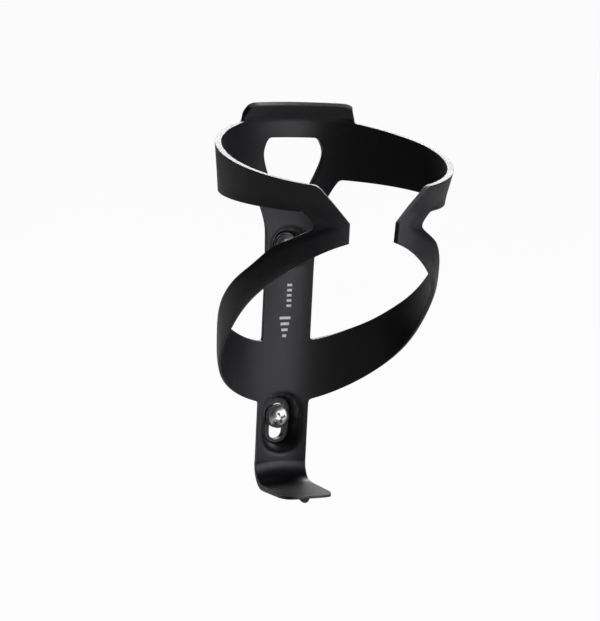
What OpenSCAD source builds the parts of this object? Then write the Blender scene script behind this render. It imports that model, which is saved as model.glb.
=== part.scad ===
// Water bottle cage for a bicycle frame.
// One moulded wrap-around body, and a bolt and washer at each of its two frame fixings.
// Origin: centre of the two-bolt pattern on the face that meets the frame tube.
// +Z runs up along the bottle, -Y points from the frame to the bottle.

/* [Bottle] */
// Inside diameter at the back of the cage
bottle_d = 73.1; // [72:0.1:76]
// How far each side of the bore is drawn in
side_pinch = 0.7; // [0:0.1:1.2]
// How far the back of the ring stands behind the bore
ring_lean = 2.5; // [0:0.1:3]
// Wall thickness of the moulding
wall = 2.2; // [1.8:0.1:2.6]

/* [Frame fixing] */
// Distance between the two frame bolts
bolt_spacing = 64; // [63:0.5:65]
// Distance from the back of the bore to the mounting face
standoff = 7.9; // [7.6:0.1:9]
// Width of the bolt hole and of the slot
hole_w = 5.5; // [5.4:0.1:5.8]
// End to end length of the lower slot
slot_len = 13.9; // [13:0.1:15]
// Thickness of the pocket floor under each washer
floor_t = 2.5; // [2:0.1:3]
// Half width of each pocket at its mouth
mouth_r = 7.0; // [6.4:0.1:7.2]

/* [Body outline] */
// Width of the spine between the arms and the window
spine_w = 18.4; // [17:0.2:20]
// Width of the spine below the arms
tail_w = 19.4; // [18.4:0.2:20.4]
// Height of the ring above its nominal place
ring_lift = 0; // [-2:0.5:2]
// Half angle of the gap between the two tips
tip_gap = 12.6; // [10:0.1:15]

/* [Tab and foot] */
// Half width of the thumb tab at its base
tab_hw = 20.5; // [18.5:0.1:21.5]
// Length of the thumb tab up its slope
tab_len = 6.2; // [4.5:0.1:8]
// Forward lean of the thumb tab
tab_lean = 36.5; // [20:0.5:45]
// How far the sides of the thumb tab curl back
tab_curl = 2.4; // [0:0.1:3]
// Reach of the foot from the bend to its front edge
foot_len = 24; // [18:0.2:26]
// Rise of the foot towards its front edge
foot_rise = 6.8; // [4:0.1:10]

/* [Hardware] */
// Bolt shank diameter
bolt_d = 5.0; // [5:0.1:5]
// Bolt head diameter
head_d = 8.5; // [8:0.1:9]
// Bolt head height
head_h = 2.8; // [2.4:0.1:3.2]
// How far the bolt stands out of the mounting face
bolt_reach = 8.5; // [6:0.5:12]
// Washer outside diameter
washer_d = 9; // [8.6:0.1:9.2]
// Washer thickness
washer_t = 1.0; // [0.8:0.1:1.2]

/* [Hidden] */

plastic = [0.10, 0.10, 0.12];
steel = [0.78, 0.79, 0.80];

// Shapes are built about the bottle axis, with +Y to the frame, and moved by place().
bore_r = bottle_d/2;             // at the back
face_y = bore_r + standoff;      // mounting face
floor_y = face_y - floor_t;      // front of the pocket floor
bolt_z = bolt_spacing/2;

// ---------- helpers ----------
function mix(a, b, part) = a*(1 - part) + b*part;
function steps(a, b, count) = [for (k = [0:count]) mix(a, b, k/count)];
// smooth step from 0 at start to 1 at end, and bell curve of height 1
function ease(start, end, x) = let (f = min(max((x - start)/(end - start), 0), 1)) f*f*(3 - 2*f);
function swell(x, centre, width) = exp(-pow((x - centre)/width, 2));
// angle on the bore, from the front, of a point near the back at sideways distance x
function angle_at(x) = 180 - asin(x/bore_r);
// how far a corner of this radius draws the side in, at a distance from the end
function corner_inset(distance, radius) = distance < radius
    ? radius - sqrt(max(pow(radius, 2) - pow(radius - distance, 2), 0)) : 0;

// ---------- outline of the wrap: fitted heights over the angle from the front ----------
function arm_low(angle) = 9.05 + 35.4*cos(angle) + 1.4*cos(2*angle) + 1.1*cos(3*angle)
    + 2.35*swell(angle, 70, 25);
function arm_high(angle) = 25.4 + 28.6*cos(angle) + 0.7*cos(2*angle) + 1.6*cos(3*angle)
    + 0.9*cos(4*angle) + 1.9*swell(angle, 50, 11) - 1.2*swell(angle, 100, 20)
    + 0.5*swell(angle, 144, 12);
function ring_low(angle) = 55.7 - 0.75*cos(angle) + ring_lift;
function on_tab(angle) = angle >= tab_angle - 0.01;
function ring_high(angle) = on_tab(angle) ? crease_z
    : max(71 + ring_lift - 7.7*cos(angle) - 0.5*pow(sin(angle), 2) - 0.35*ease(100, 125, angle),
        crease_z - (tab_angle - angle)*0.6);

// lower half of the window outline to its top corner: [height before ring_lift, half width]
window_outline = [[49.5, 5], [55.3, 8], [61, 10.3], [65.2, 11.5], [69.8, 10.3], [70.7, 9.5]];
function window_x(z) = lookup(z - ring_lift, window_outline);

crease_z = 77.6 + ring_lift;     // crease between ring and thumb tab
tab_angle = angle_at(tab_hw);
leg_x = 17;                      // half width over the legs where they meet the ring
leg_angle = angle_at(leg_x);
tip_root = 30;                   // angle where arm and tip meet, at the lower edge
spine_foot_z = -45;
arm_low_z = arm_low(165);
arm_high_z = arm_high(165);
leg_z = 38;                      // where the legs start to spread
window_low_z = window_outline[0][0] + ring_lift;
window_top_z = 71 + ring_lift;
leg_top_z = ring_low(leg_angle);
split_x = window_outline[0][1];  // the spine parts into legs at this half width

// half width of the spine and of the two legs above it
function edge_x(z) = z <= arm_low_z ? tail_w/2
    : z <= arm_high_z ? mix(tail_w/2, spine_w/2, (z - arm_low_z)/(arm_high_z - arm_low_z))
    : let (straight = spine_w/2 + 0.4*ease(24, leg_z, z)) z <= leg_z ? straight
    : straight + (leg_x - straight)*pow((z - leg_z)/(leg_top_z - leg_z), 1.55);

// ---------- wall of the wrap ----------
// radius of the inner face, with fitted terms for the arms and the front of the ring
function inner_r(angle, z) = bore_r - side_pinch*pow(sin(angle), 2)
    + 0.6*swell(angle, 54, 18)*ease(54, 46, z)
    + (1 + cos(angle))/2*(0.06*min(z - 57, 0) + 0.30*max(z - 57, 0));
// how far the wall stands behind the bore
function lean_at(angle, z) = ring_lean*ease(34, 56, z)*pow(max(-cos(angle), 0), 1.5);
// direction of the wall thickness, over the angle from the back:
// straight back on the spine, radial from the sides on
function wall_dir(back) = back*ease(16, 44, back);
// depth of the shallow facet behind each notch
function facet(angle, z) = angle <= 20 || angle >= 42 ? 0
    : 0.45*ease(0, 3, angle - 20)*ease(42, 32, angle)
        *ease(1, 0.45, abs(z - 50.8 - ring_lift)/(0.36*(angle - 20)));
// the arms get thinner towards their edges and at the sides
function wall_at(angle, z) = let (low = arm_low(angle), high = arm_high(angle),
        off_centre = min(abs(2*(z - low)/(high - low) - 1), 1))
    wall - facet(angle, z) - (z > (high + ring_low(angle))/2 || angle <= tip_root ? 0
    : 0.5*ease(65, 95, angle)*ease(163, 145, angle)
        + 0.75*pow(off_centre, 4)*ease(tip_root, 46, angle)*ease(163, 148, angle));

// A spot on the wrap is [angle, height, 1 on the crease line, else 0].
// It becomes a pair: [inner point, outer point].
function pair(spot) = let (angle = spot[0], z = spot[1], radius = inner_r(angle, z),
        x = radius*sin(angle), y = lean_at(angle, z) - radius*cos(angle),
        dir = wall_dir(180 - angle), depth = wall_at(angle, z))
    [[x, y, z],
     [x + depth*sin(dir), y + depth*cos(dir), z + (spot[2] == 1 ? wall*tan(tab_lean/2) : 0)]];
function sheet(columns) = [for (column = columns) [for (spot = column) pair(spot)]];
function cut(columns, from, to) = [for (column = columns) [for (j = [from:to]) column[j]]];

// Triangles of a grid of pairs: both faces, and a rim along each edge that is asked for.
// first and last are columns, low and high are the two ends of the columns.
function quad(a, b, c, d) = [[a, b, c], [a, c, d]];
function skin(grid, first = false, last = false, low = false, high = false) =
    let (m = len(grid) - 1, n = len(grid[0]) - 1) [
    for (i = [0:m - 1]) for (j = [0:n - 1])
        let (a = grid[i][j], b = grid[i][j + 1], c = grid[i + 1][j + 1], d = grid[i + 1][j])
        each concat(quad(a[0], b[0], c[0], d[0]), quad(a[1], d[1], c[1], b[1])),
    if (low) for (i = [0:m - 1]) let (a = grid[i][0], b = grid[i + 1][0])
        each quad(a[0], b[0], b[1], a[1]),
    if (high) for (i = [0:m - 1]) let (a = grid[i][n], b = grid[i + 1][n])
        each quad(b[0], a[0], a[1], b[1]),
    if (first) for (j = [0:n - 1]) let (a = grid[0][j], b = grid[0][j + 1])
        each quad(b[0], a[0], a[1], b[1]),
    if (last) for (j = [0:n - 1]) let (a = grid[m][j], b = grid[m][j + 1])
        each quad(a[0], b[0], b[1], a[1])
];

// All grids below cover the +X half.

// ---------- spine and legs: columns 0 to 4 from the middle out, 2 at split_x ----------
function spine_spot(z, k) = [k < 3 ? angle_at(split_x*k/2)
    : mix(angle_at(split_x), angle_at(edge_x(z)), (k - 2)/2), z, 0];
function spine_sheet(heights, from, to) =
    sheet([for (k = [from:to]) [for (z = heights) spine_spot(z, k)]]);
tail_rows = steps(spine_foot_z, arm_low_z, 3);
arm_rows = steps(arm_low_z, arm_high_z, 6);
spine_rows = steps(arm_high_z, leg_z, 4);
leg_rows = steps(leg_z, window_low_z, 5);
window_cols = [for (k = [0:2]) [for (z = steps(window_low_z, leg_top_z, 4))
    [mix(angle_at(window_x(z)), angle_at(edge_x(z)), k/2), z, 0]]];

// ---------- ring: rows 0 to 5 reach the top of the window, row 7 the crease ----------
window_steps = [0, 0.315, 0.6, 0.78, 0.92];
window_share = (window_top_z - leg_top_z)/(crease_z - leg_top_z);
ring_steps = concat(window_steps*window_share, [window_share, (1 + window_share)/2, 1]);
function ring_rows(low, high) = [for (f = ring_steps) mix(low, high, f)];
function ring_col(angle) = [for (f = ring_steps)
    [angle, mix(ring_low(angle), ring_high(angle), f), f == 1 && on_tab(angle) ? 1 : 0]];
function slant_col(low, high_angle) = ring_rows(low, [high_angle, ring_high(high_angle), 0]);

// column along the window edge, then up from the window corner to the crease
corner_angle = angle_at(window_outline[5][1]);
corner_z = window_outline[5][0] + ring_lift;
side_col = concat(
    [for (f = window_steps) let (z = mix(leg_top_z, window_top_z, f)) [angle_at(window_x(z)), z, 0]],
    [[corner_angle, corner_z, 0],
     [corner_angle, mix(corner_z, crease_z, 0.5), 0],
     [corner_angle, crease_z, 1]]);
leg_col = ring_col(leg_angle);
back_cols = [for (k = [0:2]) [for (j = [0:7]) mix(side_col[j], leg_col[j], k/2)]];
// strip over the window
over_cols = [for (x = [0, 4, 7.8]) [for (j = [0:2])
    [angle_at(x), mix(window_top_z, crease_z, j/2), j == 2 ? 1 : 0]]];

// upper and lower end of the rounded root of the notch between ring and arm
notch_high = [30.5, 51.9 + ring_lift, 0];
notch_low = [30.95, 49.75 + ring_lift, 0];
tip_top_angle = 28.7;            // where the tip starts at its top edge

tab_ring_cols = [for (angle = steps(leg_angle, tab_angle, 2)) ring_col(angle)];
front_ring_cols = concat(
    [for (angle = concat([tab_angle], [145, 144], [for (a = [140:-5:40]) a], [38, 36.2]))
        if (angle <= tab_angle) ring_col(angle)],
    [slant_col([34.3, 54.5 + ring_lift, 0], 33.6),
     slant_col([32.4, 53.2 + ring_lift, 0], 31.2),
     slant_col(notch_high, tip_top_angle)]);

// ---------- arm ----------
arm_cols = concat(
    [[for (z = arm_rows) [angle_at(edge_x(z)), z, 0]]],
    [for (angle = concat([for (a = [160:-5:40]) a], [36, 33]))
        steps([angle, arm_low(angle), 0],
            [angle, arm_high(angle) + ring_lift*pow((180 - angle)/150, 2), 0], 6)],
    [steps([tip_root, arm_low(tip_root), 0], notch_low, 6)]);

// ---------- tip: four lines from its root (0) to its end (1), the end corners cut ----------
tip_steps = [0, 0.25, 0.5, 0.75, 0.94, 1];
tip_end_high = [tip_gap + 0.08, 50.4 + ring_lift, 0];
tip_end_low = [tip_gap + 0.02, 48.1 + ring_lift, 0];
function tip_top(f) = f == 1 ? [tip_gap + 0.25, 52.1 + ring_lift, 0]
    : mix([tip_top_angle, ring_high(tip_top_angle), 0], [tip_gap + 0.1, 52.4 + ring_lift, 0], f);
function tip_mid_high(f) = mix(notch_high, tip_end_high, f);
function tip_mid_low(f) = mix(notch_low, tip_end_low, f);
function tip_bottom(f) = f == 1 ? [tip_gap + 0.3, arm_low(tip_gap) + 0.3, 0]
    : let (angle = mix(tip_root, tip_gap, f)) [angle, arm_low(angle), 0];
// spot 1, 2 or 3 of the rounded notch root
function notch_spot(k) =
    [30.75 - 0.75*cos(31.2*(k - 2)), 50.85 + 1.05*sin(32.4*(k - 2)) + ring_lift, 0];
tip_high_cols = [for (f = tip_steps) ring_rows(tip_mid_high(f), tip_top(f))];
tip_mid_cols = [for (f = tip_steps) concat([tip_mid_low(f)],
    [for (k = [1:3]) mix(notch_spot(k), mix(tip_end_low, tip_end_high, k/4), f)],
    [tip_mid_high(f)])];
tip_low_cols = [for (f = tip_steps) steps(tip_bottom(f), tip_mid_low(f), 6)];

// ---------- thumb tab ----------
tab_round = 4;                   // corner radius
tab_top_hw = tab_hw - 0.5;       // half width at the top, before rounding
tab_base = concat([for (c = over_cols) c[2]], [for (c = back_cols) c[7]],
    [for (k = [1:2]) tab_ring_cols[k][7]]);
function tab_x(d) = mix(tab_hw, tab_top_hw, d/tab_len) - corner_inset(tab_len - d, tab_round);
// pair at distance d up the slope from a spot of the base
function tab_pair(spot, d) = let (radius = bore_r - d*sin(tab_lean),
        back = (180 - spot[0])*asin(tab_x(d)/radius)/asin(tab_hw/bore_r),
        pinched = radius - side_pinch*pow(sin(back), 2),
        x = pinched*sin(back),
        y = pinched*cos(back) + lean_at(spot[0], crease_z)
            + tab_curl*pow(x/tab_hw, 4)*ease(0, 2.5, d),
        z = crease_z + d*cos(tab_lean), depth = wall*cos(tab_lean), dir = wall_dir(back))
    [[x, y, z], [x + depth*sin(dir), y + depth*cos(dir), z + wall*sin(tab_lean)]];
tab_grid = [for (spot = tab_base) concat([pair(spot)],
    [for (f = [0.2, 0.45, 0.68, 0.84, 0.94, 1]) tab_pair(spot, f*tab_len)])];

// ---------- foot ----------
bend_r = 6;                      // inner radius of the bend
bend_z = -48;                    // height of the bend's centre
bend_angle = 90 + foot_rise;
foot_thin = 2.7;                 // angle between the top and the underside
foot_round = 4.5;                // corner radius at the front edge
function sag(x) = bore_r - sqrt(bore_r*bore_r - x*x);
function foot_hw(reach) = tail_w/2 - corner_inset(foot_len - reach, foot_round);
// part runs from 0 at the curved spine to 1 at the flat foot
function bend_pair(x, part) = let (angle = part*bend_angle,
        y = bore_r - bend_r - mix(sag(x), sag(tail_w/2), part))
    [for (r = [bend_r, bend_r + wall]) [x, y + r*cos(angle), bend_z - r*sin(angle)]];
function foot_pair(x, reach) = let (start = bend_pair(x, 1))
    [for (k = [0, 1]) let (rise = foot_rise + k*foot_thin)
        start[k] + reach*[0, -cos(rise), sin(rise)]];
// columns match the spine, rows run from the front edge through the bend to the spine
foot_grid = [for (k = [0:4])
    let (x = k < 3 ? split_x*k/2 : mix(split_x, tail_w/2, (k - 2)/2)) concat(
        [for (f = [1, 0.985, 0.93, 0.84, 0.72, 0.5, 0.25])
            foot_pair(x*foot_hw(f*foot_len)*2/tail_w, f*foot_len)],
        [for (i = [7:-1:0]) bend_pair(x, i/7)],
        [pair(spine_spot(spine_foot_z, k))])];

half = concat(
    skin(foot_grid, last = true, low = true),
    skin(spine_sheet(tail_rows, 0, 4), last = true),
    skin(spine_sheet(arm_rows, 0, 4)),
    skin(spine_sheet(spine_rows, 0, 4), last = true),
    skin(spine_sheet(leg_rows, 0, 2), high = true),
    skin(spine_sheet(leg_rows, 2, 4), last = true),
    skin(sheet(window_cols), first = true, last = true),
    skin(sheet(cut(back_cols, 0, 5)), first = true),
    skin(sheet(cut(back_cols, 5, 7))),
    skin(sheet(concat(over_cols, cut([side_col], 5, 7))), low = true),
    skin(sheet(tab_ring_cols), low = true),
    skin(sheet(front_ring_cols), low = true, high = true),
    skin(sheet(arm_cols), low = true, high = true),
    skin(sheet(tip_high_cols), last = true, high = true),
    skin(sheet(tip_mid_cols), first = true, last = true),
    skin(sheet(tip_low_cols), last = true, low = true),
    skin(tab_grid, last = true, high = true));

module wrap() {
    mirrored = [for (t = half) [for (k = [0, 2, 1]) [-t[k][0], t[k][1], t[k][2]]]];
    triangles = concat(half, mirrored);
    polyhedron(points = [for (t = triangles) each t],
        faces = [for (k = [0:len(triangles) - 1]) [3*k, 3*k + 1, 3*k + 2]], convexity = 12);
}

// ---------- bosses, pockets and holes, round or stretched from z0 to z1 ----------
seat_r = 4.75;                   // pocket half width at the floor
pocket_low = -bolt_z - 5.6;      // ends of the lower pocket's straight part
pocket_high = -bolt_z + 2.4;
slot_bottom = pocket_low - 3.6;

function end_heights(z0, z1) = z0 == z1 ? [z0] : [z0, z1];

// tapered along +Y, from half width r0 at y0 to r1 at y1
module dish(y0, r0, y1, r1, z0, z1) {
    for (z = end_heights(z0, z1)) translate([0, y0, z]) rotate([-90, 0, 0])
        cylinder(h = y1 - y0, r1 = r0, r2 = r1, $fn = 64);
    if (z1 > z0) translate([0, 0, z0]) linear_extrude(z1 - z0)
        polygon([[-r0, y0], [r0, y0], [r1, y1], [-r1, y1]]);
}

module slot(z0, z1) {
    for (z = end_heights(z0, z1)) translate([0, floor_y - 1, z]) rotate([-90, 0, 0])
        cylinder(h = floor_t + 2, d = hole_w, $fn = 64);
    if (z1 > z0) translate([-hole_w/2, floor_y - 1, z0]) cube([hole_w, floor_t + 2, z1 - z0]);
}

module boss(z0, z1) {
    dish(bore_r + 0.65, 8.8, face_y, 6.8, z0, z1);
}

// starts 3 mm inside the bore, on the same taper
module pocket(z0, z1) {
    taper = (mouth_r - seat_r)/(floor_y - bore_r);
    dish(bore_r - 3, mouth_r + 3*taper, floor_y, seat_r, z0, z1);
}

// ---------- nub on the underside of the foot ----------
nub_w = 4;
// [distance back from the front edge, height from the underside]
nub_outline = [[3.85, 0.4], [4.25, -2.05], [5.05, -2.5], [6.5, -2.15], [14.6, -0.7], [14.6, 0.4]];
function underside(reach) = let (p = foot_pair(0, reach)[1]) [p[1], p[2]];
module foot_nub() {
    translate([-nub_w/2, 0, 0]) rotate([90, 0, 90]) linear_extrude(nub_w)
        polygon([for (q = nub_outline) underside(foot_len - q[0]) + [0, q[1]]]);
}

module place() {
    translate([0, -face_y, 0]) children();
}

module cage_body() {
    color(plastic) place() difference() {
        union() {
            wrap();
            boss(pocket_low, pocket_high);
            boss(bolt_z, bolt_z);
            foot_nub();
        }
        pocket(pocket_low, pocket_high);
        pocket(bolt_z, bolt_z);
        slot(slot_bottom + hole_w/2, slot_bottom + slot_len - hole_w/2);
        slot(bolt_z, bolt_z);
    }
}

// ---------- hardware ----------
washer_play = 0.3;               // washer hole over bolt diameter
neck_d = bolt_d - 0.5;           // plain neck inside the cage and the washer
grip = floor_t + washer_t;
dome_h = 1.6;
dome_r = (pow(head_d/2, 2) + pow(dome_h, 2))/(2*dome_h);
cross_size = [4.8, 1.1, 3];      // each bar of the cross recess
cross_depth = 1.6;
cross_turn = 20;

module washer(z) {
    color(steel) place() translate([0, floor_y - washer_t, z]) rotate([-90, 0, 0]) difference() {
        cylinder(h = washer_t, d = washer_d, $fn = 64);
        translate([0, 0, -1]) cylinder(h = washer_t + 2, d = bolt_d + washer_play, $fn = 64);
    }
}

module bolt_head() {
    rotate_extrude($fn = 64) polygon(concat([[0, 0], [head_d/2, 0]],
        [for (k = [0:6]) let (r = head_d/2*(1 - k/7))
            [r, head_h - dome_r + sqrt(pow(dome_r, 2) - r*r)]],
        [[0, head_h]]));
}

module bolt(z) {
    color(steel) place() translate([0, floor_y - washer_t, z]) rotate([90, 0, 0]) difference() {
        union() {
            bolt_head();
            translate([0, 0, -grip]) cylinder(h = grip + 0.5, d = neck_d, $fn = 64);
            translate([0, 0, -(grip + bolt_reach)]) cylinder(h = bolt_reach, d = bolt_d, $fn = 64);
        }
        for (a = [0, 90]) rotate(a + cross_turn)
            translate([-cross_size[0]/2, -cross_size[1]/2, head_h - cross_depth]) cube(cross_size);
        translate([0, 0, head_h - 1.9]) cylinder(h = 3, r1 = 0.6, r2 = 1.5, $fn = 32);
    }
}

module upper_bolt() { bolt(bolt_z); }
module lower_bolt() { bolt(-bolt_z); }
module upper_washer() { washer(bolt_z); }
module lower_washer() { washer(-bolt_z); }

cage_body();
upper_bolt();
upper_washer();
lower_bolt();
lower_washer();
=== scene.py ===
"""A bottle cage: a black one-piece moulding, held by two screws on plain washers.

In the scene (metres, +Z up) the mounting face lies at y = 0 and the cage reaches towards -Y,
its front. The shapes are worked out in mm about the bottle axis, x = y = 0, and `solid` moves
them into place. Points of the moulding are given as (angle round the axis from the front, z),
for the +X half; the other half is its mirror image.
"""
import math

import bmesh
import bpy
from mathutils import Matrix, Vector


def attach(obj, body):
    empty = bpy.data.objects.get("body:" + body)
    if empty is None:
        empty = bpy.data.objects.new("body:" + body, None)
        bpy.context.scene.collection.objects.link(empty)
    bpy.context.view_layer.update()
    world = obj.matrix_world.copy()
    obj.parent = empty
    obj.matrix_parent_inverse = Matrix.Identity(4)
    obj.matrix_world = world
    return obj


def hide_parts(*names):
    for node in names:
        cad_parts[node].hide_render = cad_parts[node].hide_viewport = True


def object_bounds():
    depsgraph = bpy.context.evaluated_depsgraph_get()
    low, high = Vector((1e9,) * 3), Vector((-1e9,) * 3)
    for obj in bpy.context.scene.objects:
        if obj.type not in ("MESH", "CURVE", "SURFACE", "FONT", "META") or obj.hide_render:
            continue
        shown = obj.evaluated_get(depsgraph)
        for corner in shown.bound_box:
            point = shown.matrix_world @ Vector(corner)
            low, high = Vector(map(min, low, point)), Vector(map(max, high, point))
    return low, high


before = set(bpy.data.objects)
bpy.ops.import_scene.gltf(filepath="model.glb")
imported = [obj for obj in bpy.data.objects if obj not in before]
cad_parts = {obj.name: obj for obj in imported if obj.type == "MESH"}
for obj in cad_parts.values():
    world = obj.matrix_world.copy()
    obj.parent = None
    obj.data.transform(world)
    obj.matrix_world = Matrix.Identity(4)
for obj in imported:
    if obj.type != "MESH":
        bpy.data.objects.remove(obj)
cad_box = [[float(c) for c in corner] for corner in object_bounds()]

# ---------------------------------------------------------------- main sizes, mm and degrees
MM = 0.001
BORE_R = 36.55                  # bore radius at the back
BORE_NARROW = 0.7               # how much less the radius is at the sides
WALL = 2.2
FACE = 44.45                    # y of the mounting face
POCKET_FLOOR = FACE - 2.5
HOLE_Z = 32.0                   # the screws stand this far above and below z = 0
HOLE_R = 2.75
POCKET_LOW, POCKET_HIGH = -HOLE_Z - 5.6, -HOLE_Z + 2.4  # end centres of the long lower pocket
SLOT_LEN = 13.9
SLOT_BOTTOM = POCKET_LOW - 3.6
TAIL_HALF, SPINE_HALF = 19.4 / 2, 18.4 / 2              # half widths below and above the arms
LEG_X = 17.0                    # outer edge of the legs where they meet the ring
LEAN = 2.5                      # how far the back of the ring stands behind the bore
TAB_HALF = 20.5
TAB_ROOT = 0.7                  # the tab's mesh starts this far below its crease
TAB_Z = 77.6 - TAB_ROOT
TAB_LEN = 6.2 + TAB_ROOT
TAB_LEAN = math.radians(36.5)
FOOT_BEND_Z = -48
SPINE_BOTTOM = FOOT_BEND_Z + 0.5
LEG_Z = 38.0                    # the legs begin to spread here
WINDOW_BOTTOM, WINDOW_TOP = 49.5, 71.0
TIP_ANGLE = 12.6                # half the gap between the arm tips
# cosine series of the arm's edges, z = c0 + c1 cos(t) + c2 cos(2t) + ...
ARM_LOW = (9.05, 35.4, 1.4, 1.1)
ARM_HIGH = (25.4, 28.6, 0.7, 1.6, 0.9)
# z, half width of the window between the legs
WINDOW = [(49.5, 5), (55.3, 8.0), (61, 10.3), (65.2, 11.5), (69.8, 10.3), (71, 9.6)]

SIN45 = math.sin(math.pi / 4)
SIN22, COS22 = math.sin(math.pi / 8), math.cos(math.pi / 8)


# ---------------------------------------------------------------- small maths
def cosd(t):
    return math.cos(math.radians(t))


def sind(t):
    return math.sin(math.radians(t))


def mix(a, b, f):
    if isinstance(a, tuple):
        return tuple(x * (1 - f) + y * f for x, y in zip(a, b))
    return a * (1 - f) + b * f


def steps(a, b, n):
    return [mix(a, b, k / n) for k in range(n + 1)]


def swell(t, at, width):
    """A smooth rise of 1 at the angle at, of half width width."""
    return math.exp(-((t - at) / width) ** 2)


def ease(start, end, value):
    """0 at start, 1 at end, level at both."""
    f = min(max((value - start) / (end - start), 0), 1)
    return f * f * (3 - 2 * f)


def cosines(series, t):
    return sum(c * cosd(k * t) for k, c in enumerate(series))


def angle_at(x):
    """Angle of the point of the back of the bore at x."""
    return 180 - math.degrees(math.asin(x / BORE_R))


# ---------------------------------------------------------------- outlines of the moulding
def arm_low(t):
    return cosines(ARM_LOW, t) + 2.35 * swell(t, at=70, width=25)


def arm_high(t):
    return (cosines(ARM_HIGH, t) + 1.9 * swell(t, at=50, width=11)
            - 1.2 * swell(t, at=100, width=20) + 0.5 * swell(t, at=144, width=12))


TAB_T, LEG_T = angle_at(TAB_HALF), angle_at(LEG_X)


def ring_low(t):
    return 55.7 - 0.75 * cosd(t)


def ring_high(t):
    if t >= TAB_T - 0.01:
        return TAB_Z
    return 71 - 7.7 * cosd(t) - 0.5 * sind(t) ** 2 - 0.35 * ease(100, 125, t)


ARM_T = 165                     # the arm leaves the spine about here
ARM_Z0, ARM_Z1 = arm_low(ARM_T), arm_high(ARM_T)
RING_Z = ring_low(LEG_T)


def edge_x(z):
    """Outer edge of the tail, spine and legs."""
    if z <= ARM_Z0:
        return TAIL_HALF
    if z <= ARM_Z1:
        return mix(TAIL_HALF, SPINE_HALF, (z - ARM_Z0) / (ARM_Z1 - ARM_Z0))
    x = SPINE_HALF + 0.4 * ease(24, LEG_Z, z)
    if z <= LEG_Z:
        return x
    return x + (LEG_X - x) * ((z - LEG_Z) / (RING_Z - LEG_Z)) ** 1.55


def window_x(z):
    for (z0, x0), (z1, x1) in zip(WINDOW, WINDOW[1:]):
        if z <= z1:
            return x0 + (x1 - x0) * (z - z0) / (z1 - z0)
    return WINDOW[-1][1]


def bore(t, z):
    """Inner radius: narrower at the sides, fuller at the arm's front, flared towards the top."""
    flare = 0.06 * min(z - 57, 0) + 0.30 * max(z - 57, 0)
    return (BORE_R - BORE_NARROW * sind(t) ** 2
            + 0.6 * swell(t, at=54, width=18) * ease(54, 46, z) + (1 + cosd(t)) / 2 * flare)


def lean(t, z):
    """How far the sheet stands behind the bore."""
    return LEAN * ease(34, 56, z) * max(-cosd(t), 0) ** 1.5


def wall_at(t, z):
    """Sheet thickness: less round the notch, at the sides and at the edges of the arms."""
    low, high = arm_low(t), arm_high(t)
    dip = 0
    u = (t - 20) / 10
    if t < 42 and u > 0:
        near = ease(1, 0.45, abs(z - 50.8) / (3.6 * u))
        dip = 0.45 * ease(0, 0.3, u) * ease(42, 32, t) * near
    if z > (high + ring_low(t)) / 2 or t <= 30:
        return WALL - dip
    v = min(abs(2 * (z - low) / (high - low) - 1), 1)
    side = 0.5 * ease(65, 95, t) * ease(163, 145, t)
    return WALL - dip - side - 0.75 * v ** 4 * ease(30, 46, t) * ease(163, 148, t)


def aim(b):
    """Direction the thickness is laid on: straight back on the spine, radial from the sides on."""
    return b * ease(16, 44, b)


def pair(node):
    """Inner and outer point of the sheet at node, an (angle, z)."""
    t, z = node
    r = bore(t, z)
    # exactly on the centre plane at the back
    x = 0.0 if abs(t - 180) < 1e-9 else r * sind(t)
    y = r * -cosd(t) + lean(t, z)
    b, w = aim(180 - t), wall_at(t, z)
    return (x, y, z), (x + w * sind(b), y + w * cosd(b), z)


def sheet(columns):
    return [[pair(node) for node in column] for column in columns]


def back_y(x, z):
    """y of the sheet's inner side at the back."""
    b = math.degrees(math.asin(x / BORE_R))
    return bore(180 - b, z) * cosd(b) + lean(180 - b, z)


# ---------------------------------------------------------------- mesh builder
class Shell:
    """Collects faces and their mirror images; points that coincide are shared."""

    def __init__(self):
        self.points, self.index, self.faces, self.rims = [], {}, [], {}

    def point(self, p):
        key = tuple(round(c, 3) for c in p)
        if key not in self.index:
            self.index[key] = len(self.points)
            self.points.append(p)
        return self.index[key]

    def quad(self, a, b, c, d):
        for corners in ((a, b, c, d), [(-x, y, z) for x, y, z in (a, d, c, b)]):
            # a corner that comes twice makes a triangle
            ids = list(dict.fromkeys(self.point(p) for p in corners))
            if len(ids) > 2:
                self.faces.append(ids)

    def rim(self, a, b, weight):
        for sign in (1, -1):
            i, j = (self.point((sign * x, y, z)) for x, y, z in (a, b))
            self.rims[(min(i, j), max(i, j))] = weight

    def wall(self, p, q, weight=1.0):
        """Closes the edge between the (inner, outer) pairs p and q, the sheet on the left."""
        self.quad(p[0], q[0], q[1], p[1])
        self.rim(p[0], q[0], weight)
        self.rim(p[1], q[1], weight)

    def block(self, columns, left=False, right=False, low=False, high=False, skip=None):
        """Both sides of a grid of pairs, and walls along the edges asked for."""
        m, n = len(columns) - 1, len(columns[0]) - 1
        for i in range(m):
            for j in range(n):
                if skip and skip(j):
                    continue
                a, b = columns[i][j:j + 2]
                d, c = columns[i + 1][j:j + 2]
                self.quad(a[0], b[0], c[0], d[0])
                self.quad(a[1], d[1], c[1], b[1])
        if low:
            for i in range(m):
                self.wall(columns[i][0], columns[i + 1][0])
        if high:
            for i in range(m):
                self.wall(columns[i + 1][n], columns[i][n])
        if left:
            for j in range(n):
                self.wall(columns[0][j + 1], columns[0][j])
        if right:
            for j in range(n):
                self.wall(columns[m][j], columns[m][j + 1])


shell = Shell()

# ---------------------------------------------------------------- spine
COLUMNS, SPLIT = 5, 2           # columns from the centre to the edge; those below the window
SPLIT_X = 5.0
LEG_COLUMNS = COLUMNS - SPLIT
ARM_ROWS = 9


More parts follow.
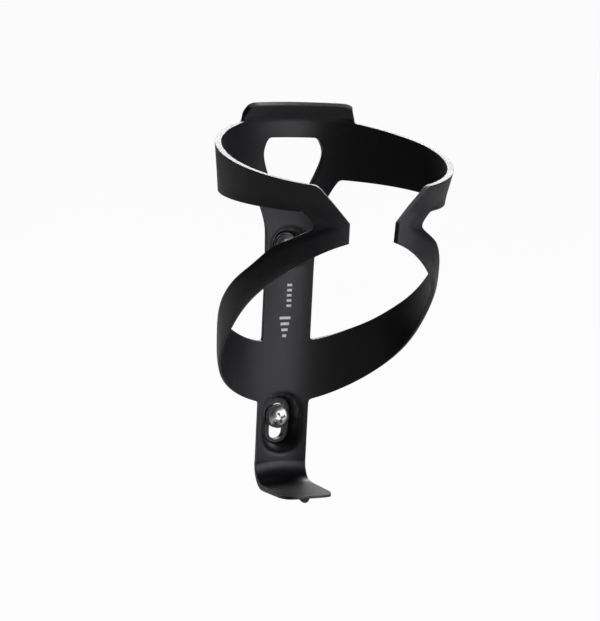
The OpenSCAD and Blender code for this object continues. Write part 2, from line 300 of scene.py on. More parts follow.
def spine_node(i, z):
    if i <= SPLIT:
        return (angle_at(SPLIT_X * i / SPLIT), z)
    return (mix(angle_at(SPLIT_X), angle_at(edge_x(z)), (i - SPLIT) / LEG_COLUMNS), z)


UPPER_POCKET_Z = 22.2           # lowest row of the upper pocket
row_z, row_starts = [], []
for z_from, z_to, count in ((SPINE_BOTTOM, ARM_Z0, 9), (ARM_Z0, ARM_Z1, ARM_ROWS),
                            (ARM_Z1, UPPER_POCKET_Z, 10), (UPPER_POCKET_Z, LEG_Z, 6),
                            (LEG_Z, WINDOW_BOTTOM, 6)):
    row_starts.append(len(row_z))
    row_z += steps(z_from, z_to, count)[:-1]
row_z.append(WINDOW_BOTTOM)
_, ARM_ROW0, ARM_ROW1, UPPER_ROW0, LEG_ROW = row_starts
WINDOW_ROW = len(row_z) - 1
LOWER_ROW1, UPPER_ROW1 = ARM_ROW0 + 2, LEG_ROW + 2      # top rows of the pockets
spine = sheet([[spine_node(i, z) for z in row_z] for i in range(COLUMNS + 1)])

# Rings of points round a pocket, from the hole outwards:
# radius, y, 1 if y is measured from the sheet's surface
INNER_RINGS = [
    (HOLE_R, POCKET_FLOOR, 0), (3.6, POCKET_FLOOR, 0), (4.52, POCKET_FLOOR, 0),
    (4.78, POCKET_FLOOR - 0.2, 0), (5.16, POCKET_FLOOR - 1.1, 0), (6.0, POCKET_FLOOR - 3.1, 0),
    (6.45, 1.35, 1), (6.95, 0.66, 1), (7.6, 0.2, 1), (8.3, 0.0, 1)]
OUTER_RINGS = [
    (HOLE_R, FACE, 0), (4.2, FACE, 0), (5.8, FACE, 0), (6.45, FACE - 0.08, 0),
    (6.8, FACE - 0.5, 0), (7.2, FACE - 1.9, 0), (7.75, FACE - 3.7, 0),
    (8.3, 0.8, 1), (8.6, 0.2, 1), (8.8, 0.0, 1)]
MARGIN = 0.3                    # the rings stay at least this far inside the pocket's border
HOLE_SOFTNESS = 0.35            # bevel weight of the hole's edges


def pocket(row0, row1, centres, hole_centres):
    """Fills the spine between two rows with a pocket and its hole.

    Both are round-ended, about the two z of centres and of hole_centres.
    """
    (z0, z1), (hole_z0, hole_z1) = centres, hole_centres
    border = [(i, row0) for i in range(COLUMNS)]
    border += [(COLUMNS, j) for j in range(row0, row1)]
    border += [(i, row1) for i in range(COLUMNS, -1, -1)]
    hole = []
    for side, rings in enumerate((INNER_RINGS, OUTER_RINGS)):
        last_r = rings[-1][0]
        lines = []
        for i, j in border:
            end = spine[i][j][side]
            centre_z = min(max(end[2], z0), z1)
            hole_z = mix(hole_z0, hole_z1, (centre_z - z0) / (z1 - z0)) if z1 > z0 else hole_z0
            reach = math.hypot(end[0], end[2] - centre_z)
            dx, dz = end[0] / reach, (end[2] - centre_z) / reach
            # one more ring lies between the last one and the border
            if reach > last_r + 2.2:
                extra_r = mix(last_r, reach, 0.45)
            else:
                extra_r = mix(min(last_r, reach - MARGIN), reach, 0.5)
            stations = [(min(r, reach - MARGIN), y, on) for r, y, on in rings]
            line = []
            for m, (r, y, on_sheet) in enumerate(stations + [(extra_r, 0.0, 1)]):
                x, z = r * dx, mix(hole_z, centre_z, min(m / 2, 1)) + r * dz
                line.append((x, on_sheet * (back_y(x, z) + side * WALL) + y, z))
            lines.append(line + [end])
        for a, b in zip(lines, lines[1:]):
            for k in range(len(a) - 1):
                if side == 0:
                    shell.quad(a[k], a[k + 1], b[k + 1], b[k])
                else:
                    shell.quad(a[k], b[k], b[k + 1], a[k + 1])
        hole.append([line[0] for line in lines])
    rim = list(zip(*hole))
    for a, b in zip(rim, rim[1:]):
        shell.wall(a, b, HOLE_SOFTNESS)


shell.block(spine, skip=lambda j: j < LOWER_ROW1 or UPPER_ROW0 <= j < UPPER_ROW1)
pocket(0, LOWER_ROW1, (POCKET_LOW, POCKET_HIGH),
       (SLOT_BOTTOM + HOLE_R, SLOT_BOTTOM + SLOT_LEN - HOLE_R))
pocket(UPPER_ROW0, UPPER_ROW1, (HOLE_Z, HOLE_Z), (HOLE_Z, HOLE_Z))
for j in [*range(ARM_ROW0), *range(ARM_ROW1, WINDOW_ROW)]:
    shell.wall(spine[COLUMNS][j], spine[COLUMNS][j + 1])
for i in range(SPLIT):
    shell.wall(spine[i + 1][WINDOW_ROW], spine[i][WINDOW_ROW])

# ---------------------------------------------------------------- legs beside the window
leg_rows = [steps((angle_at(window_x(z)), z), (angle_at(edge_x(z)), z), LEG_COLUMNS)
            for z in steps(WINDOW_BOTTOM, RING_Z, 4)]
shell.block(sheet(zip(*leg_rows)), left=True, right=True)

# ---------------------------------------------------------------- ring
window_share = (WINDOW_TOP - RING_Z) / (TAB_Z - RING_Z)
WINDOW_PARTS = [0, 0.315, 0.6, 0.80, 1]                 # rows beside the window
ring_parts = [part * window_share for part in WINDOW_PARTS] + [(1 + window_share) / 2, 1]
WINDOW_ROWS = len(WINDOW_PARTS) - 1
CORNER_X, CORNER_Z = 9.5, 70.9                          # upper corner of the window


def ring_column(t):
    return [(t, mix(ring_low(t), ring_high(t), part)) for part in ring_parts]


def slant_column(start, t):
    """Column from start to the ring's upper edge at t."""
    return [mix(start, (t, ring_high(t)), part) for part in ring_parts]


window_z = [mix(RING_Z, WINDOW_TOP, part) for part in WINDOW_PARTS[:-1]]
window_side = [(angle_at(window_x(z)), z) for z in window_z]
window_side += [(angle_at(CORNER_X), z) for z in steps(CORNER_Z, TAB_Z, 2)]
beside = [[mix(a, b, k / LEG_COLUMNS) for a, b in zip(window_side, ring_column(LEG_T))]
          for k in range(LEG_COLUMNS + 1)]
over = [[(angle_at(x), z) for z in steps(WINDOW_TOP, TAB_Z, 2)] for x in (0, 2.7, 5.4, 7.8)]
under_tab = [ring_column(t) for t in steps(LEG_T, TAB_T, 2)]
shell.block(sheet([column[:WINDOW_ROWS + 1] for column in beside]), left=True)
shell.block(sheet([column[WINDOW_ROWS:] for column in beside]))
shell.block(sheet(over + [window_side[WINDOW_ROWS:]]), low=True)
shell.block(sheet(under_tab), low=True)

# the notch between ring and arm, from its lower to its upper end: (angle, z)
NOTCH = [(30.95, 49.75), (30.22, 50.3), (30.0, 50.85), (30.1, 51.4), (30.5, 51.9)]
RING_END_T = 28.7
ring_angles = [TAB_T, 143.4] + [141.0 - 3.0 * k for k in range(35)] + [38.2, 36.3]
ring_front = [ring_column(t) for t in ring_angles]
ring_front += [slant_column(start, t) for start, t in
               (((34.45, 54.55), 33.6), ((32.4, 53.2), 31.2), (NOTCH[-1], RING_END_T))]
shell.block(sheet(ring_front), low=True, high=True)

# ---------------------------------------------------------------- arm
ARM_END_T = 30
arm = [[spine_node(COLUMNS, z) for z in row_z[ARM_ROW0:ARM_ROW1 + 1]]]
for t in [162.5] + [160.0 - 3.0 * k for k in range(42)] + [33.2]:
    arm.append([(t, z) for z in steps(arm_low(t), arm_high(t), ARM_ROWS)])
arm.append(steps((ARM_END_T, arm_low(ARM_END_T)), NOTCH[0], ARM_ROWS))
shell.block(sheet(arm), low=True, high=True)

# ---------------------------------------------------------------- tip, where arm and ring join
TIP_PARTS = [0, 0.16, 0.33, 0.5, 0.67, 0.84, 1]
TIP_LOWER = (TIP_ANGLE + 0.03, 48.3)    # the tip's end: level with the notch's lower end,
TIP_UPPER = (TIP_ANGLE + 0.07, 50.6)    # with its upper end,
TIP_TOP = (TIP_ANGLE + 0.1, 52.4)       # and at the top
upper_tip, middle_tip, lower_tip = [], [], []
for f in TIP_PARTS:
    start, top = mix(NOTCH[-1], TIP_UPPER, f), mix((RING_END_T, ring_high(RING_END_T)), TIP_TOP, f)
    # from the ring's own rows at the notch to even rows at the end
    upper_tip.append([mix(start, top, mix(part, k / (len(ring_parts) - 1), f))
                      for k, part in enumerate(ring_parts)])
    middle_tip.append([mix(node, end, f)
                       for node, end in zip(NOTCH, steps(TIP_LOWER, TIP_UPPER, 4))])
    t = mix(ARM_END_T, TIP_ANGLE, f)
    lower_tip.append(steps((t, arm_low(t)), mix(NOTCH[0], TIP_LOWER, f), ARM_ROWS))
shell.block(sheet(upper_tip), right=True, high=True)
shell.block(sheet(middle_tip), left=True, right=True)
shell.block(sheet(lower_tip), right=True, low=True)

# ---------------------------------------------------------------- thumb tab on top of the ring
TAB_BEND = 1.4                  # length of the bend below the straight lip
TAB_CORNER = 4.0                # corner radius
TAB_TOP_X = TAB_HALF - 0.5
TAB_CURL = 2.4                  # how far the tab's sides are curled back
TAB_CORNER_D = TAB_LEN - TAB_CORNER * (1 - SIN45)


def tab_slope(d):
    return TAB_LEAN * ease(0, TAB_BEND, d)


def tab_curve(d):
    """How far forward and up the point d along the tab is."""
    n = 24
    slopes = [tab_slope(d * (k + 0.5) / n) for k in range(n)]
    return sum(math.sin(a) * d / n for a in slopes), sum(math.cos(a) * d / n for a in slopes)


def tab_edge(d):
    x = mix(TAB_HALF, TAB_TOP_X, d / TAB_LEN)
    k = d - (TAB_LEN - TAB_CORNER)
    return x - (TAB_CORNER - math.sqrt(TAB_CORNER ** 2 - k * k) if k > 0 else 0)


tab_root = [column[-1] for column in over + beside + under_tab[1:]]
off_back = [180 - t for t, _ in tab_root]
# x and distance along the tab of each column's top; the last two go round the corner
tab_tops = [((TAB_TOP_X - TAB_CORNER) * b / off_back[-3], TAB_LEN) for b in off_back[:-2]]
tab_tops += [(TAB_TOP_X - TAB_CORNER * (1 - SIN22), TAB_LEN - TAB_CORNER * (1 - COS22)),
             (TAB_TOP_X + 0.15 - TAB_CORNER * (1 - SIN45), TAB_CORNER_D)]
tab = []
for (t, root_z), b, (top_x, top_d) in zip(tab_root, off_back, tab_tops):
    column = [pair((t, root_z))]
    for d in (TAB_BEND / 2, TAB_BEND, TAB_LEN - TAB_CORNER,
              TAB_LEN - TAB_CORNER * (1 - SIN22), TAB_CORNER_D):
        part = d / TAB_CORNER_D
        along = part * top_d
        forward, rise = tab_curve(along)
        slope = tab_slope(along)
        r = BORE_R - BORE_NARROW * sind(b) ** 2 - forward
        x = mix(tab_edge(d) * sind(b) / sind(off_back[-1]), top_x, part ** 2)
        turn = math.asin(x / r)
        curl = TAB_CURL * (x / TAB_HALF) ** 4 * ease(0, 2.5, along)
        y, z = r * math.cos(turn) + lean(t, root_z) + curl, root_z + rise
        out, w = aim(math.degrees(turn)), WALL * math.cos(slope)
        column.append(((x, y, z),
                       (x + w * sind(out), y + w * cosd(out), z + WALL * math.sin(slope))))
    tab.append(column)
shell.block(tab, right=True, high=True)

# ---------------------------------------------------------------- foot, forward from the tail
FOOT_BEND_R = 6.0
FOOT_LEN = 24.0
FOOT_RISE = 6.8                 # slope of the foot's upper side
FOOT_THIN = 2.7                 # extra slope of the underside, which thins the foot forwards
FOOT_CORNER = 4.5
BEND_STEPS = 7


def sag(x):
    return BORE_R - math.sqrt(BORE_R * BORE_R - x * x)


def bend_pair(x, a, flat):
    """Pair at the angle a of the bend; flat goes from 0, the bore's curve, to 1, straight."""
    y = BORE_R - FOOT_BEND_R - mix(sag(x), sag(TAIL_HALF), flat)
    return tuple((x, y + r * cosd(a), FOOT_BEND_Z - r * sind(a))
                 for r in (FOOT_BEND_R, FOOT_BEND_R + WALL))


def foot_pair(x, d):
    """Pair at the distance d from the bend."""
    return tuple((x, y - d * cosd(a), z + d * sind(a)) for (_, y, z), a in
                 zip(bend_pair(x, 90 + FOOT_RISE, 1), (FOOT_RISE, FOOT_RISE + FOOT_THIN)))


# x and distance from the bend along the front edge
corner_start_x = TAIL_HALF - FOOT_CORNER
corner_start_d = FOOT_LEN - FOOT_CORNER
foot_front = [(0, FOOT_LEN), (2.1, FOOT_LEN), (4.2, FOOT_LEN), (corner_start_x, FOOT_LEN),
              (TAIL_HALF - FOOT_CORNER * (1 - SIN22), FOOT_LEN - FOOT_CORNER * (1 - COS22)),
              (TAIL_HALF - FOOT_CORNER * (1 - SIN45), FOOT_LEN - FOOT_CORNER * (1 - SIN45))]
foot = []
for i, (front_x, front_d) in enumerate(foot_front):
    tail_x = BORE_R * sind(180 - spine_node(i, SPINE_BOTTOM)[0])
    column = [foot_pair(front_x, front_d)]
    for f, d in ((0.5, FOOT_LEN - FOOT_CORNER * (1 - SIN22)), (1.0, corner_start_d)):
        corner_x = corner_start_x + math.sqrt(FOOT_CORNER ** 2 - (d - corner_start_d) ** 2)
        x = mix(front_x, tail_x / TAIL_HALF * corner_x, f)
        column.append(foot_pair(x, mix(front_d, corner_start_d, f) if i < COLUMNS else d))
    column += [foot_pair(tail_x, d) for d in (14.4, 10.6, 7.0, 3.5)]
    for k in range(BEND_STEPS, -1, -1):
        f = k / BEND_STEPS
        column.append(bend_pair(tail_x, f * (90 + FOOT_RISE), f))
    foot.append(column + [spine[i][0]])
shell.block(foot, right=True, low=True)


# ---------------------------------------------------------------- objects from points
def new_mesh(name, points, faces):
    mesh = bpy.data.meshes.new(name)
    mesh.from_pydata(points, [], faces)
    mesh.update()
    ob = bpy.data.objects.new(name, mesh)
    bpy.context.scene.collection.objects.link(ob)
    return ob


def solid(name, points, faces):
    """Closed mesh from points in mm about the bottle axis, with its normals outwards."""
    ob = new_mesh(name, [(x * MM, (y - FACE) * MM, z * MM) for x, y, z in points], faces)
    bm = bmesh.new()
    bm.from_mesh(ob.data)
    bmesh.ops.recalc_face_normals(bm, faces=bm.faces)
    bm.to_mesh(ob.data)
    bm.free()
    return ob


def add_modifier(ob, kind, **settings):
    modifier = ob.modifiers.new(kind.lower(), kind)
    for key, value in settings.items():
        setattr(modifier, key, value)


def bake(ob):
    """Applies the object's modifiers."""
    depsgraph = bpy.context.evaluated_depsgraph_get()
    mesh = bpy.data.meshes.new_from_object(ob.evaluated_get(depsgraph))
    old = ob.data
    ob.modifiers.clear()
    ob.data = mesh
    bpy.data.meshes.remove(old)


def unite(ob, other):
    add_modifier(ob, "BOOLEAN", operation="UNION", object=other, solver="EXACT")
    bake(ob)
    bpy.data.objects.remove(other)


def shade_smooth(ob, sharp_angle=None):
    for polygon in ob.data.polygons:
        polygon.use_smooth = True
    if sharp_angle:
        ob.data.set_sharp_from_angle(angle=math.radians(sharp_angle))


def band_faces(rings, n):
    """Faces between neighbouring rings of n points each."""
    return [(i * n + k, i * n + (k + 1) % n, (i + 1) * n + (k + 1) % n, (i + 1) * n + k)
            for i in range(rings - 1) for k in range(n)]


def capped_faces(rings, n):
    last = (rings - 1) * n
    return band_faces(rings, n) + [tuple(range(n - 1, -1, -1)), tuple(range(last, last + n))]


body = solid("cage_moulding", shell.points, shell.faces)
weights = body.data.attributes.new("bevel_weight_edge", "FLOAT", "EDGE")
for edge in body.data.edges:
    weights.data[edge.index].value = shell.rims.get(edge.key, 0.0)
add_modifier(body, "BEVEL", limit_method="WEIGHT", width=0.45 * MM, segments=2, profile=0.6,
             use_clamp_overlap=True)
add_modifier(body, "SUBSURF", levels=2, render_levels=2)
bake(body)

# nub under the front of the foot: y, lowest z, half width
NUB = [(8.5, -53.0, 1.2), (8.8, -54.6, 1.6), (9.4, -55.35, 1.75), (10.6, -55.45, 1.8),
       (13.2, -55.25, 1.7), (16.2, -54.9, 1.3), (17.2, -54.2, 0.9)]
NUB_TOP_Z, NUB_TOP_SLOPE = -52.45, 0.165        # its top lies inside the foot
NUB_POINTS = 9
nub_points = []
for y, low_z, half in NUB:
    top = NUB_TOP_Z - (y - NUB[0][0]) * NUB_TOP_SLOPE
    for k in range(NUB_POINTS):
        a = math.pi * k / (NUB_POINTS - 1)
        nub_points.append((-half * math.cos(a), y, top + (low_z - top) * math.sin(a) ** 0.7))
unite(body, solid("nub_tmp", nub_points, capped_faces(len(NUB), NUB_POINTS)))
shade_smooth(body)

# ---------------------------------------------------------------- screws and washers, mm
LATHE_SEGMENTS = 96
HEAD_R, HEAD_H = 4.25, 2.8
CAP_RISE = 1.6                  # height of the head's spherical cap
CAP_STEPS = 12
HEAD_SEAT = POCKET_FLOOR - 1.0
# cross recess: half length and half width of its arms, z
RECESS = ((2.55, 0.66, HEAD_H + 0.4), (2.3, 0.6, HEAD_H - 0.25), (1.15, 0.42, HEAD_H - 1.75))
RECESS_TURN = math.radians(20)
SHANK_SEGMENTS, SHANK_STEP = 48, 0.1
SHANK_TOP, SHANK_END = 0.3, -12.0
SHANK_R, THREAD_R, THREAD_DEPTH, THREAD_PITCH = 2.25, 2.06, 0.43, 0.8
# a hair clear of the moulding and of the head, so that no two faces lie in one plane
WASHER_SEAT, WASHER_T = POCKET_FLOOR - 0.985, 0.945
WASHER_R, WASHER_HOLE_R, WASHER_EDGE = 4.5, 2.66, 0.14


def lathe(profile):
    """Points and faces of (radius, z) turned about the axis; on the axis it is one point."""
    n = LATHE_SEGMENTS
    points, faces, rings = [], [], []
    for r, z in profile:
        count = n if r else 1
        rings.append(range(len(points), len(points) + count))
        points += [(r * math.cos(2 * math.pi * k / n), r * math.sin(2 * math.pi * k / n), z)
                   for k in range(count)]
    for a, b in zip(rings, rings[1:]):
        for k in range(n):
            corners = (a[k % len(a)], a[(k + 1) % len(a)], b[(k + 1) % len(b)], b[k % len(b)])
            faces.append(list(dict.fromkeys(corners)))
    return points, faces


def place(points, hole_z, seat_y):
    """Turns local +Z to -Y, the way out of the head, and moves z = 0 to the seat."""
    return [(x, seat_y - z, hole_z + y) for x, y, z in points]


def screw_head(name, hole_z):
    sphere_r = (HEAD_R * HEAD_R + CAP_RISE ** 2) / (2 * CAP_RISE)
    profile = [(0, HEAD_H)]
    for k in range(1, CAP_STEPS + 1):
        r = (HEAD_R - 0.12) * k / CAP_STEPS
        profile.append((r, HEAD_H - sphere_r + math.sqrt(sphere_r * sphere_r - r * r)))
    profile += [(HEAD_R - 0.03, 1.16), (HEAD_R, 1.0), (HEAD_R, 0.2), (HEAD_R - 0.05, 0.08),
                (HEAD_R - 0.18, 0.0), (2.7, 0.0), (0, 0.0)]
    points, faces = lathe(profile)
    return solid(name, place(points, hole_z, HEAD_SEAT), faces)


def cross_cutter(hole_z):
    c, s = math.cos(RECESS_TURN), math.sin(RECESS_TURN)
    points = []
    for a, w, z in RECESS:
        outline = [(a, -w), (a, w), (w, w), (w, a), (-w, a), (-w, w),
                   (-a, w), (-a, -w), (-w, -w), (-w, -a), (w, -a), (w, -w)]
        points += [(c * x - s * y, s * x + c * y, z) for x, y in outline]
    faces = [tuple(range(12)), tuple(range(35, 23, -1))]
    for ring in (0, 12):
        for k in range(12):
            after = (k + 1) % 12
            faces.append((ring + k, ring + 12 + k, ring + 12 + after, ring + after))
    return solid("cut_tmp", place(points, hole_z, HEAD_SEAT), faces)


def threaded_shank(hole_z):
    """Shank with a helical thread that runs in below a plain neck and out at the tapered end."""
    rows = int(round((SHANK_TOP - SHANK_END) / SHANK_STEP)) + 1
    points = []
    for j in range(rows):
        z = SHANK_TOP - j * SHANK_STEP
        run_in = min(max((-z - 3.2) / 0.8, 0), 1)
        for k in range(SHANK_SEGMENTS):
            phase = (z / THREAD_PITCH + k / SHANK_SEGMENTS) % 1.0
            crest = min(max((1 - abs(2 * phase - 1) - 0.12) / 0.72, 0), 1)
            r = mix(SHANK_R, THREAD_R + THREAD_DEPTH * crest, run_in)
            r = min(r, 1.85 + (z - SHANK_END) * 0.9)
            a = 2 * math.pi * k / SHANK_SEGMENTS
            points.append((r * math.cos(a), r * math.sin(a), z))
    return solid("shank_tmp", place(points, hole_z, HEAD_SEAT),
                 capped_faces(rows, SHANK_SEGMENTS))


def screw(name, hole_z):
    head = screw_head(name, hole_z)
    cutter = cross_cutter(hole_z)
    add_modifier(head, "BOOLEAN", operation="DIFFERENCE", object=cutter, solver="EXACT")
    add_modifier(head, "BEVEL", limit_method="ANGLE", angle_limit=math.radians(40),
                 width=0.07 * MM, segments=2)
    bake(head)
    bpy.data.objects.remove(cutter)
    unite(head, threaded_shank(hole_z))
    shade_smooth(head, sharp_angle=38)
    return head


def washer(name, hole_z):
    r, hole_r, t, c = WASHER_R, WASHER_HOLE_R, WASHER_T, WASHER_EDGE
    profile = [(hole_r, -t + c), (hole_r, -c), (hole_r + c, 0), (r - c * 1.6, 0),
               (r - 0.04, -c * 0.8), (r, -c * 1.8), (r, -t + c * 1.8), (r - 0.04, -t + c * 0.8),
               (r - c * 1.6, -t), (hole_r + c, -t)]
    points, faces = lathe(profile)
    # close the loop from the last ring to the first
    n, last = LATHE_SEGMENTS, (len(profile) - 1) * LATHE_SEGMENTS
    faces += [(last + k, last + (k + 1) % n, (k + 1) % n, k) for k in range(n)]
    ob = solid(name, place(points, hole_z, WASHER_SEAT), faces)
    shade_smooth(ob, sharp_angle=30)
    return ob


upper_screw = screw("upper_screw", HOLE_Z)
lower_screw = screw("lower_screw", -HOLE_Z)
upper_washer = washer("upper_plain_washer", HOLE_Z)
lower_washer = washer("lower_plain_washer", -HOLE_Z)


# ---------------------------------------------------------------- materials, metres
class Shader:
    """A material's node tree; inputs take either a value or another node's output."""

    def __init__(self, name):
        self.material = bpy.data.materials.new(name)
        self.material.use_nodes = True
        self.tree = self.material.node_tree
        self.tree.nodes.clear()
        self.output = self.tree.nodes.new("ShaderNodeOutputMaterial")

    def node(self, kind, inputs=None, **settings):
        node = self.tree.nodes.new("ShaderNode" + kind)
        for key, value in settings.items():
            setattr(node, key, value)
        for key, value in (inputs or {}).items():
            if isinstance(value, bpy.types.NodeSocket):
                self.tree.links.new(value, node.inputs[key])
            else:
                node.inputs[key].default_value = value
        return node

    def math(self, operation, *values):
        return self.node("Math", dict(enumerate(values)), operation=operation).outputs[0]

    def noise(self, coord, scale, detail, rough):
        return self.node("TexNoise", {"Scale": scale, "Detail": detail, "Roughness": rough,
                                      "Vector": coord}).outputs["Fac"]

    def remap(self, value, span, to=(0.0, 1.0)):
        return self.node("MapRange", {
            "Value": value, "From Min": span[0], "From Max": span[1],
            "To Min": to[0], "To Max": to[1]}).outputs["Result"]

    def blend(self, factor, a, b):
        a, b = ((*c, 1) if isinstance(c, tuple) else c for c in (a, b))
        inputs = {"Factor": factor, "A": a, "B": b}
        return self.node("Mix", inputs, data_type="RGBA").outputs["Result"]

    def bump(self, height, strength, distance, normal=None):
        inputs = {"Strength": strength, "Distance": distance, "Height": height}
        if normal:
            inputs["Normal"] = normal
        return self.node("Bump", inputs).outputs[0]

    def finish(self, surface):
        self.tree.links.new(surface, self.output.inputs[0])
        return self.material


# printed bars on the front of the spine: centre x, centre z, half width, half height
MARKS = [(-0.0006, 0.0060 - 0.0022 * i, 0.0021 - 0.00045 * i, 0.0005) for i in range(4)]
MARKS += [(0.0006, 0.0105 + 0.0019 * i, 0.0009, 0.00045) for i in range(5)]
MARK_BLUR = 0.00006


def printed_marks(s, position):
    """1 inside the bars, 0 outside."""
    mark = None
    for centre_x, centre_z, half_x, half_z in MARKS:
        inside = [s.math("SUBTRACT", half,
                         s.math("ABSOLUTE", s.math("SUBTRACT", position.outputs[axis], centre)))
                  for axis, centre, half in ((0, centre_x, half_x), (2, centre_z, half_z))]
        bar = s.remap(s.math("MINIMUM", *inside), span=(-MARK_BLUR, MARK_BLUR))
        mark = s.math("MAXIMUM", mark, bar) if mark else bar
    return mark


def plastic():
    s = Shader("satin_black_moulding")
    coord = s.node("TexCoord").outputs["Object"]
    fine = s.noise(coord, scale=5200, detail=2.0, rough=0.6)    # spark-eroded mould grain
    mid = s.noise(coord, scale=900, detail=3.0, rough=0.55)
    wide = s.noise(coord, scale=45, detail=2.0, rough=0.5)      # slow flow marks
    geometry = s.node("NewGeometry")
    edge = s.remap(geometry.outputs["Pointiness"], span=(0.52, 0.62))
    # painted highlight and wear: sharp edges, found by pointiness, are greyed below
    worn_and_highlit_edge = s.math("MULTIPLY", edge, s.remap(mid, span=(0.35, 0.7), to=(0.4, 1.0)))
    color = s.blend(s.remap(wide, span=(0.3, 0.7)),
                    a=(0.0048, 0.0047, 0.0062), b=(0.0072, 0.0070, 0.0088))
    # edges are painted greyer, at half strength: partly wear, partly a painted highlight along the
    # rims
    color = s.blend(s.math("MULTIPLY", worn_and_highlit_edge, 0.5), color, b=(0.10, 0.10, 0.105))
    position = s.node("SeparateXYZ", {0: coord})
    mark = printed_marks(s, position)
    normal = s.node("SeparateXYZ", {0: geometry.outputs["True Normal"]})
    facing = s.remap(normal.outputs[1], span=(-0.55, -0.35), to=(1.0, 0.0))
    mark = s.math("MULTIPLY", mark, facing)
    # painted highlight: the upward-facing surfaces of the upper rim are painted paler, as if lit
    # from above
    rim_top_highlight = s.math("MULTIPLY", s.remap(normal.outputs[2], span=(0.55, 0.9)),
                 s.remap(position.outputs[2], span=(0.018, 0.034)))
    rim_top_highlight = s.math("MULTIPLY", rim_top_highlight, s.remap(mid, span=(0.3, 0.65), to=(0.55, 1.0)))
    color = s.blend(rim_top_highlight, color, b=(0.22, 0.22, 0.228))
    mark = s.math("MULTIPLY", mark, s.remap(fine, span=(0.25, 0.45), to=(0.82, 1.0)))
    color = s.blend(mark, color, b=(0.86, 0.86, 0.85))
    # roughness from the mid noise, varied by 0.10 with the flow marks, 0.08 less at the worn,
    # highlit edges
    rough = s.math("ADD", s.remap(mid, span=(0.3, 0.7), to=(0.38, 0.46)),
                   s.math("MULTIPLY", s.math("SUBTRACT", wide, 0.5), 0.10))
    rough = s.math("SUBTRACT", rough, s.math("MULTIPLY", worn_and_highlit_edge, 0.08))
    grain = s.bump(fine, strength=0.35, distance=0.00002)
    grain = s.bump(mid, strength=0.4, distance=0.00003, normal=grain)
    return s.finish(s.node("BsdfPrincipled", {
        "Base Color": color, "Roughness": rough, "IOR": 1.5, "Specular IOR Level": 0.5,
        "Normal": grain}).outputs[0])


def steel(name, rough, base, stretch):
    """Blotchy steel; stretch scales the fine grain's coordinates along z."""
    s = Shader(name)
    coord = s.node("TexCoord").outputs["Object"]
    mapping = s.node("Mapping", {"Vector": coord, "Scale": (1, 1, stretch)})
    fine = s.noise(mapping.outputs[0], scale=2600, detail=3.0, rough=0.6)
    blotch = s.noise(coord, scale=420, detail=3.0, rough=0.6)
    pointiness = s.node("NewGeometry").outputs["Pointiness"]
    cavity_shade = s.remap(pointiness, span=(0.40, 0.50), to=(1.0, 0.0))
    color = s.blend(s.remap(blotch, span=(0.35, 0.7)), base, tuple(c * 0.86 for c in base))
    # painted shade: cavities are darker, at 0.55 strength
    color = s.blend(s.math("MULTIPLY", cavity_shade, 0.55), color, b=(0.12, 0.115, 0.11))
    return s.finish(s.node("BsdfPrincipled", {
        "Base Color": color, "Metallic": 1.0,
        "Roughness": s.remap(blotch, span=(0.3, 0.75), to=(rough * 0.8, rough * 1.35)),
        "Normal": s.bump(fine, strength=0.25, distance=0.000015)}).outputs[0])


black = plastic()
polished = steel("polished_stainless", rough=0.30, base=(0.88, 0.87, 0.84), stretch=1)
plain = steel("plain_stainless", rough=0.26, base=(0.72, 0.71, 0.69), stretch=12)

for ob, material, ridden, node, slot in (
        (body, black, "cage", "cage_body", "cage_plastic"),
        (upper_screw, polished, "upper_bolt_body", "upper_bolt", "bolt_steel"),
        (lower_screw, polished, "lower_bolt_body", "lower_bolt", "bolt_steel"),
        (upper_washer, plain, "upper_washer_body", "upper_washer", "washer_steel"),
        (lower_washer, plain, "lower_washer_body", "lower_washer", "washer_steel")):
    ob.data.materials.clear()
    ob.data.materials.append(material)
    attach(ob, ridden)
    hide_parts(node)


# ---------------------------------------------------------------- floor and backdrop, metres
def stage_material():
    """A pale matt sweep, which glows evenly towards the camera and so stays almost white."""
    s = Shader("pale_sweep")
    coord = s.node("TexCoord").outputs["Object"]
    cloud = s.noise(coord, scale=6, detail=2.0, rough=0.5)
    matt = s.node("BsdfPrincipled", {
        "Base Color": s.blend(cloud, a=(0.50, 0.50, 0.50), b=(0.53, 0.53, 0.53)),
        "Roughness": 0.9, "Specular IOR Level": 0.1})
    glow = s.node("Emission", {
        "Strength": 1.0,
        "Color": s.blend(cloud, a=(0.985, 0.985, 0.985), b=(1.0, 1.0, 1.0))})
    glow_share = s.math("MULTIPLY", s.node("LightPath").outputs["Is Camera Ray"], 0.97)
    return s.finish(s.node("MixShader", {
        0: glow_share, 1: matt.outputs[0], 2: glow.outputs[0]}).outputs[0])


FLOOR_Z = cad_box[0][2] - 0.16
FLOOR_HALF = 2.6
FLOOR_FRONT, FLOOR_BACK = -2.2, 0.9
SWEEP_R, SWEEP_STEPS, BACKDROP_H = 0.5, 12, 2.4
FLOOR_TURN = math.radians(-21.4)

# (y, height) of the floor, the curve and the top of the backdrop
floor_profile = [(FLOOR_FRONT, 0.0), (FLOOR_BACK, 0.0)]
for k in range(1, SWEEP_STEPS + 1):
    a = math.pi / 2 * k / SWEEP_STEPS
    floor_profile.append((FLOOR_BACK + SWEEP_R * math.sin(a), SWEEP_R - SWEEP_R * math.cos(a)))
floor_profile.append((FLOOR_BACK + SWEEP_R, BACKDROP_H))
turn_cos, turn_sin = math.cos(FLOOR_TURN), math.sin(FLOOR_TURN)
floor_points = [(x * turn_cos - y * turn_sin, x * turn_sin + y * turn_cos, z + FLOOR_Z)
                for y, z in floor_profile for x in (-FLOOR_HALF, FLOOR_HALF)]
floor = new_mesh("pale_floor", floor_points,
                 [(2 * i, 2 * i + 1, 2 * i + 3, 2 * i + 2) for i in range(len(floor_profile) - 1)])
shade_smooth(floor)
floor.data.materials.append(stage_material())

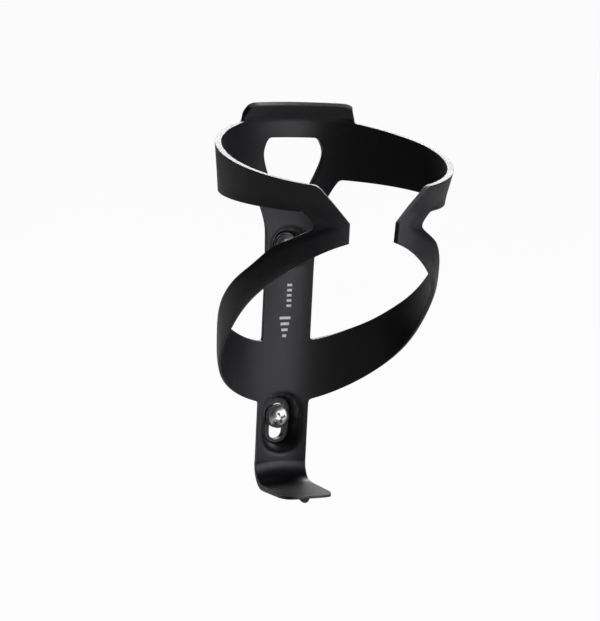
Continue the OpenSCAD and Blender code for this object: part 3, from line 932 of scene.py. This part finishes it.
# ---------------------------------------------------------------- world
bpy.context.scene.view_settings.view_transform = "Standard"
world = bpy.data.worlds.new("studio")
bpy.context.scene.world = world
world.use_nodes = True
tree = world.node_tree
dim = tree.nodes["Background"]
dim.inputs["Color"].default_value = (0.95, 0.93, 1.2, 1)
dim.inputs["Strength"].default_value = 0.009
# seen straight on, the room beyond the floor is as pale as the floor
pale = tree.nodes.new("ShaderNodeBackground")
path = tree.nodes.new("ShaderNodeLightPath")
pick = tree.nodes.new("ShaderNodeMixShader")
pale.inputs["Color"].default_value = (0.97, 0.97, 0.975, 1)
tree.links.new(path.outputs["Is Camera Ray"], pick.inputs[0])
tree.links.new(dim.outputs[0], pick.inputs[1])
tree.links.new(pale.outputs[0], pick.inputs[2])
tree.links.new(pick.outputs[0], tree.nodes["World Output"].inputs["Surface"])

# ---------------------------------------------------------------- lights, metres and watts
LIGHT_AIM = Vector((0, -0.0445, 0.015))
COOL = (0.985, 0.98, 1.06)


def direction(azimuth, elevation):
    """Unit vector; azimuth in degrees from the front, -Y, towards +X."""
    a, e = math.radians(azimuth), math.radians(elevation)
    return Vector((math.sin(a) * math.cos(e), -math.cos(a) * math.cos(e), math.sin(e)))


def area_light(name, azimuth, elevation, distance, size, power, color=(1, 1, 1)):
    light = bpy.data.lights.new(name, "AREA")
    light.shape = "RECTANGLE"
    light.size, light.size_y = size
    light.energy = power
    light.color = color
    ob = bpy.data.objects.new(name, light)
    away = direction(azimuth, elevation)
    ob.location = LIGHT_AIM + away * distance
    ob.rotation_mode = "QUATERNION"
    ob.rotation_quaternion = away.to_track_quat("Z", "Y")
    bpy.context.scene.collection.objects.link(ob)
    return ob


area_light("key", azimuth=35, elevation=0, distance=1.0, size=(1.0, 0.9), power=4.8, color=COOL)
area_light("front", azimuth=15, elevation=0, distance=1.0, size=(0.5, 0.9), power=2.5)
area_light("side", azimuth=54, elevation=12, distance=1.0, size=(0.5, 0.9), power=1.1, color=COOL)
area_light("left_top", azimuth=-100, elevation=58, distance=0.9, size=(0.5, 0.5), power=1.4)
behind = area_light("behind", azimuth=158, elevation=33, distance=1.1, size=(1.3, 0.48), power=15)
behind.visible_camera = False

# ---------------------------------------------------------------- camera, mm
CAMERA_AZIMUTH, CAMERA_ELEVATION = -21.41, 11.66
CAMERA_ROLL = 2.85
CAMERA_AIM = Vector((0, -FACE, 20))
CAMERA_DISTANCE = 573.7
SHIFT_LEFT, SHIFT_DOWN = 8.81, 3.51             # of the camera, in its own plane

back = direction(CAMERA_AZIMUTH, CAMERA_ELEVATION)
level = Vector((cosd(CAMERA_AZIMUTH), sind(CAMERA_AZIMUTH), 0))
upright = back.cross(level)
right = cosd(CAMERA_ROLL) * level + sind(CAMERA_ROLL) * upright
up = -sind(CAMERA_ROLL) * level + cosd(CAMERA_ROLL) * upright
lens = bpy.data.cameras.new("camera")
camera = bpy.data.objects.new("camera", lens)
bpy.context.scene.collection.objects.link(camera)
camera.rotation_mode = "QUATERNION"
camera.rotation_quaternion = Matrix((right, up, back)).transposed().to_quaternion()
camera.location = MM * (CAMERA_AIM - right * SHIFT_LEFT - up * SHIFT_DOWN
                        + back * CAMERA_DISTANCE)
lens.sensor_width = 36.0
lens.lens = 97.778435
lens.clip_start, lens.clip_end = 0.01, 50
bpy.context.scene.camera = camera
